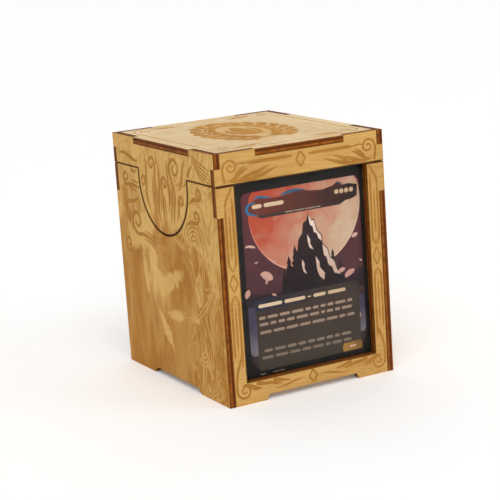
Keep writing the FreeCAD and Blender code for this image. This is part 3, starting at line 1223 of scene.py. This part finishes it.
def printPicture():
    left, right = cardPrint["fieldLeft"], cardPrint["fieldRight"]
    field = roundedOutline(left, right, cardPrint["fieldLow"], cardPrint["fieldTop"],
                           cardPrint["lowerCorner"], cardPrint["upperCorner"])
    printPlates("card_field", [field], "field", 1)
    printPlates("card_moon", [moonOutline()], "moon", 2)
    (cp, cq), radius = cardPrint["moonCentre"], cardPrint["moonRadius"]
    printStrokes("card_moon_rim", [stroke(arc((cp, cq), radius - 0.25, 186, 354, 70), 0.5, "leaf")], "rim", 3)
    mist = [roundedOutline(left + 0.05, cardPrint["panelLeft"] + 1, 12.5, 34.5, 2.6, 1.2),
            roundedOutline(cardPrint["panelRight"] - 1, right - 0.05, 13.5, 30.0, 1.6, 1.0)]
    printPlates("card_mist", mist, "mist", 2)
    hills = ridge(left + 0.1, right - 0.1, 34.0, (40.2, 39.0, 38.2, 38.6, 37.6, 37.2, 38.0, 39.6, 40.4, 39.4,
                                                  38.4, 39.2, 40.0, 41.2, 42.0))
    printPlates("card_hills", [hills], "hills", 3)
    crag = [(20.5, 36.0), (21.8, 40.2), (23.4, 42.8), (24.3, 47.0), (25.8, 48.2), (26.4, 52.6), (28.4, 54.4),
            (29.2, 59.0), (31.2, 61.4), (32.0, 65.8), (33.6, 66.6), (34.6, 69.8), (36.2, 66.4), (37.4, 66.9),
            (38.6, 61.8), (40.8, 59.6), (41.2, 55.4), (43.6, 53.0), (44.4, 49.2), (46.8, 47.2), (48.0, 42.8),
            (50.6, 40.6), (53.2, 36.0)]
    printPlates("card_crag", [crag], "crag", 4)
    pines = [pine(24.0, 40.0, 13.0), pine(27.2, 45.0, 12.0), pine(21.4, 37.0, 10.0), pine(30.6, 52.0, 9.0),
             pine(45.8, 43.0, 9.5), pine(49.2, 38.5, 9.0)]
    printPlates("card_pines", pines, "crag", 5)
    snow = [
        [(34.7, 69.2), (36.2, 66.0), (37.2, 66.3), (38.3, 61.6), (40.4, 59.3), (40.7, 56.6), (39.0, 58.2),
         (38.4, 60.4), (37.0, 61.0), (36.6, 63.4), (35.2, 64.6)],
        [(40.9, 55.2), (43.2, 52.8), (44.1, 49.0), (46.4, 47.0), (47.5, 43.0), (49.6, 40.6), (46.2, 41.8),
         (45.2, 44.6), (43.4, 45.8), (42.6, 49.4), (41.4, 50.2)],
        [(37.2, 50.6), (39.0, 47.8), (38.9, 45.6), (41.4, 42.6), (40.8, 39.6), (38.6, 41.8), (37.6, 44.8)],
        [(33.6, 60.6), (35.0, 58.2), (34.9, 56.4), (36.4, 53.6), (34.4, 54.8), (33.8, 57.4)],
        [(30.6, 50.2), (31.6, 48.2), (31.3, 46.4), (32.6, 43.6), (30.9, 44.8), (30.2, 47.8)],
    ]
    printPlates("card_snow", snow, "snow", 6)
    petals = [
        ((3.6, 59.4), 4.6, -8, 1.1), ((10.2, 46.6), 5.6, -28, 3.4), ((12.8, 42.6), 2.0, 80, 1.0),
        ((56.2, 55.6), 2.8, 25, 1.8), ((48.6, 41.6), 3.0, 15, 1.9), ((52.0, 38.6), 5.0, 30, 2.4),
        ((3.2, 38.2), 3.2, 70, 2.4), ((14.8, 37.6), 2.2, -20, 0.9), ((16.2, 51.0), 1.6, 35, 0.6),
        ((7.6, 52.2), 1.4, 10, 0.6), ((57.4, 19.4), 2.4, 65, 1.8), ((59.0, 45.4), 1.6, -35, 0.7),
    ]
    blown = []
    for (p, q), size, turn, width in petals:
        angle = math.radians(turn)
        end = (p + size * math.cos(angle), q + size * math.sin(angle))
        bow = (-0.3 * size * math.sin(angle), 0.3 * size * math.cos(angle))
        bend = (end[0] + bow[0] * 0.4, end[1] + bow[1] * 0.4)
        blown.append(stroke(bezier((p, q), (p + bow[0], q + bow[1]), bend, end), width, "leaf"))
    printStrokes("card_petals", blown, "petal", 6)


def printTitle():
    left, right = cardPrint["titleLeft"], cardPrint["titleRight"]
    low, top = cardPrint["titleLow"], cardPrint["titleTop"]
    torn = [(right, low + 1.2), (right + 0.4, top - 0.6), (55.6, top + 0.4), (52.0, top + 0.2),
            (50.2, top + 1.9), (47.4, top + 0.5), (42.0, top - 0.5), (36.0, top + 0.1), (31.0, top + 1.0),
            (27.0, top + 0.4), (20.0, top - 0.4), (14.0, top - 0.2), (11.8, top + 0.7), (8.6, top - 0.4),
            (left, top - 1.4), (left - 0.4, low + 2.2), (left + 0.6, low + 0.2), (9.2, low + 0.3),
            (11.0, low - 0.3), (56.0, low), (57.4, low + 0.5)]
    printPlates("card_title_band", [torn], "title", 7)
    shelf = [(54.0, low + 0.1), (12.0, low + 0.1), (9.6, low - 0.7), (12.6, low - 1.6), (50.6, low - 1.5)]
    printPlates("card_title_shelf", [shelf], "under title", 6)
    flames = [
        stroke(smoothLine([(9.6, top - 1.2), (6.6, top - 1.6), (5.4, top - 3.4), (5.7, low + 1.6),
                           (7.6, low + 0.5), (10.4, low - 0.1)]), 1.3, "leaf"),
        stroke(bezier((8.6, top + 0.2), (11.4, top + 2.0),
                      (13.6, top - 0.2), (17.8, top + 0.1)), 1.0, "leaf"),
        stroke(bezier((21.4, top + 0.2), (26.0, top + 1.2),
                      (28.6, top + 1.8), (34.0, top + 0.7)), 1.3, "leaf"),
        stroke(bezier((48.8, top + 1.3), (50.0, top + 2.0),
                      (50.6, top + 1.2), (52.6, top + 0.6)), 0.6, "leaf"),
    ]
    printStrokes("card_title_flames", flames, "blue", 8)
    marks = [pill(7.9, 12.6, 76.1, 1.7), pill(13.6, 23.2, 76.1, 1.7)]
    printPlates("card_title_bars", marks, "cream", 8)
    pips = [arc((49.3 + 2.45 * k, 76.6), 1.05, 0, 345, 22) for k in range(4)]
    printPlates("card_title_pips", pips, "cream", 8)
    dice = random.Random(cardPrint["seed"])
    printPlates("card_subtitle_bars", wordPills(23.6, 41.0, 71.7, 0.5, dice), "faint cream", 8)


def printTextPanel():
    left, right, top = cardPrint["panelLeft"], cardPrint["panelRight"], cardPrint["panelTop"]
    panel = roundedOutline(left, right, cardPrint["fieldLow"], top, 1.2, 0.6)
    printPlates("card_text_panel", [panel], "panel", 7)
    band = [(right, cardPrint["typeLow"]), (right + 0.5, top - 0.6), (right - 1.0, top + 0.4),
            (left + 3, top + 0.5), (left - 0.6, top - 0.6), (left - 0.3, cardPrint["typeLow"])]
    printPlates("card_type_band", [band], "type band", 8)
    kinds = [pill(7.9, 19.5, 33.7, 1.5), pill(20.6, 30.9, 33.7, 1.5), pill(32.1, 33.8, 33.7, 0.5),
             pill(35.0, 41.2, 33.7, 1.5), pill(42.2, 51.2, 33.7, 1.5)]
    printPlates("card_type_bars", kinds, "cream", 9)
    dice = random.Random(cardPrint["seed"] + 1)
    rows = []
    for q, start, end in ((28.5, 7.9, 55.4), (25.7, 7.9, 54.0), (22.2, 7.9, 55.2), (19.1, 7.9, 9.2),
                          (14.1, 9.4, 53.0), (11.2, 8.2, 53.0)):
        rows += wordPills(start, end, q, 1.25, dice)
    printPlates("card_text_bars", rows, "faint cream", 8)
    badge = [(58.2, 6.0), (58.6, 8.2), (57.8, 9.9), (49.0, 9.7), (48.2, 7.9), (48.8, 6.0)]
    printPlates("card_badge", [badge], "gold", 8)
    printPlates("card_badge_bar", [pill(51.8, 55.2, 7.9, 0.9)], "cream", 9)
    footMarks = wordPills(6.8, 11.0, 4.3, 0.55, dice) + wordPills(13.0, 19.0, 4.3, 0.45, dice)
    printPlates("card_foot_marks", footMarks, "faint cream", 1)


printPicture()
printTitle()
printTextPanel()
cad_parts["display_card"].material_slots[0].material = cardInks["border"]
print("card printed with", len(printedPieces), "layers")


# card sleeve

sleeveLook = {
    "sleeve_back": {
        "name": "matt black film", "tone": ink(18, 18, 16), "roughness": 0.45, "alpha": 1.0,
        "wear": 0.2, "grime": ink(70, 68, 64), "rippleScale": 3.0, "ripple": 0.15, "rippleDepth": 0.00002},
    "sleeve_front": {
        "name": "clear film", "tone": ink(150, 152, 150), "roughness": 0.16, "alpha": 0.012,
        "wear": 0.3, "grime": ink(150, 150, 146), "rippleScale": 0.06, "ripple": 0.2, "rippleDepth": 0.0002},
}
for nodeName, look in sleeveLook.items():
    film, tree, shader = startMaterial(look["name"])
    place = placeOf(tree)
    wearInto(tree, shader, look["tone"], place, look["roughness"], look["wear"], look["grime"])
    fill(tree, shader.inputs, {"Alpha": look["alpha"]})
    ripple = noiseOf(tree, place, look["rippleScale"], 2.0, 0.5)
    bumpInto(tree, shader, ripple, look["ripple"], look["rippleDepth"])
    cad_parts[nodeName].material_slots[0].material = film
print("card sleeve finished")


# floor, light and camera

stage = {
    "floorSize": 40.0,
    "floorTone": (0.98, 0.98, 0.98, 1),
    "floorGlow": 0.11,  # lifts the floor towards the white of the sky
    "sky": (1.0, 1.0, 1.0, 1),
    "skyStrength": 0.5,
    "suns": [  # each: name, where it shines from, strength, spread in degrees, tint
        ("soft sun", (-0.42, -0.85, 1.15), 1.34, 50.0, (1.0, 0.985, 0.96)),
        ("back sun", (0.35, 1.0, 0.75), 0.4, 70.0, (1.0, 1.0, 1.0)),  # so the back isn't left grey
    ],
    "windowPower": 2.2,
    "windowPlace": (0.8, -0.9, 0.5),
    "windowTarget": (0, 0, 0.05),
    "windowSize": 0.7,
}


def makeFloor():
    half = stage["floorSize"] / 2
    mesh = bpy.data.meshes.new("floor")
    mesh.from_pydata([(-half, -half, 0), (half, -half, 0), (half, half, 0), (-half, half, 0)], [],
                     [(0, 1, 2, 3)])
    material, tree, shader = startMaterial("pale floor")
    fill(tree, shader.inputs, {
        "Base Color": stage["floorTone"], "Roughness": 0.9, "Emission Color": stage["floorTone"],
        "Emission Strength": stage["floorGlow"]})
    mesh.materials.append(material)
    addObject("floor", mesh)


def makeWindowLight():
    light = bpy.data.lights.new("window light", "AREA")
    light.shape = "DISK"
    light.size = stage["windowSize"]
    light.energy = stage["windowPower"]
    lamp = addObject("window light", light)
    lamp.location = stage["windowPlace"]
    facing = Vector(stage["windowTarget"]) - Vector(stage["windowPlace"])
    lamp.rotation_euler = facing.to_track_quat("-Z", "Y").to_euler()
    lamp.visible_camera = False


def makeSun(name, direction, strength, spread, tint):
    light = bpy.data.lights.new(name, "SUN")
    light.energy = strength
    light.angle = math.radians(spread)
    light.color = tint
    addObject(name, light).rotation_euler = (-Vector(direction)).to_track_quat("-Z", "Y").to_euler()


def makeSky():
    world = bpy.data.worlds.new("soft studio")
    world.use_nodes = True
    tree = world.node_tree
    # the backdrop looks white, and the light that it gives stays softer
    seen = addNode(tree, "LightPath").outputs["Is Camera Ray"]
    strength = rangeOf(tree, seen, 0.0, 1.0, stage["skyStrength"], 1.0, "LINEAR")
    fill(tree, tree.nodes["Background"].inputs, {"Color": stage["sky"], "Strength": strength})
    bpy.context.scene.world = world


# where the viewer stands, in degrees and in box widths
view = {
    "azimuth": -28.7564,
    "elevation": 12.5317,
    "roll": -3.8456,
    "distance": 8.7692,
    "shiftRight": -0.0042,
    "shiftUp": -0.0030,
    "lens": 116.03,
    "sensor": 36.0,
}


def makeCamera():
    azimuth, elevation, roll = (math.radians(view[k]) for k in ("azimuth", "elevation", "roll"))
    back = Vector((math.sin(azimuth) * math.cos(elevation), -math.cos(azimuth) * math.cos(elevation),
                   math.sin(elevation)))
    level = (-back).cross(Vector((0, 0, 1))).normalized()
    upright = level.cross(-back)
    right = level * math.cos(roll) + upright * math.sin(roll)
    up = upright * math.cos(roll) - level * math.sin(roll)
    width = boxWidth * mm
    place = Vector((0, 0, boxHeight * mm / 2)) + (
        back * view["distance"] + right * view["shiftRight"] + up * view["shiftUp"]) * width
    data = bpy.data.cameras.new("camera")
    data.lens = view["lens"]
    data.sensor_width = view["sensor"]
    data.clip_start = 0.01
    camera = addObject("camera", data)
    turn = Matrix((right, up, back)).transposed().to_4x4()
    camera.matrix_world = Matrix.Translation(place) @ turn
    bpy.context.scene.camera = camera


bpy.context.scene.view_settings.view_transform = "Standard"
makeFloor()
makeSky()
for sun in stage["suns"]:
    makeSun(*sun)
makeWindowLight()
makeCamera()
print("floor, lights and camera placed")
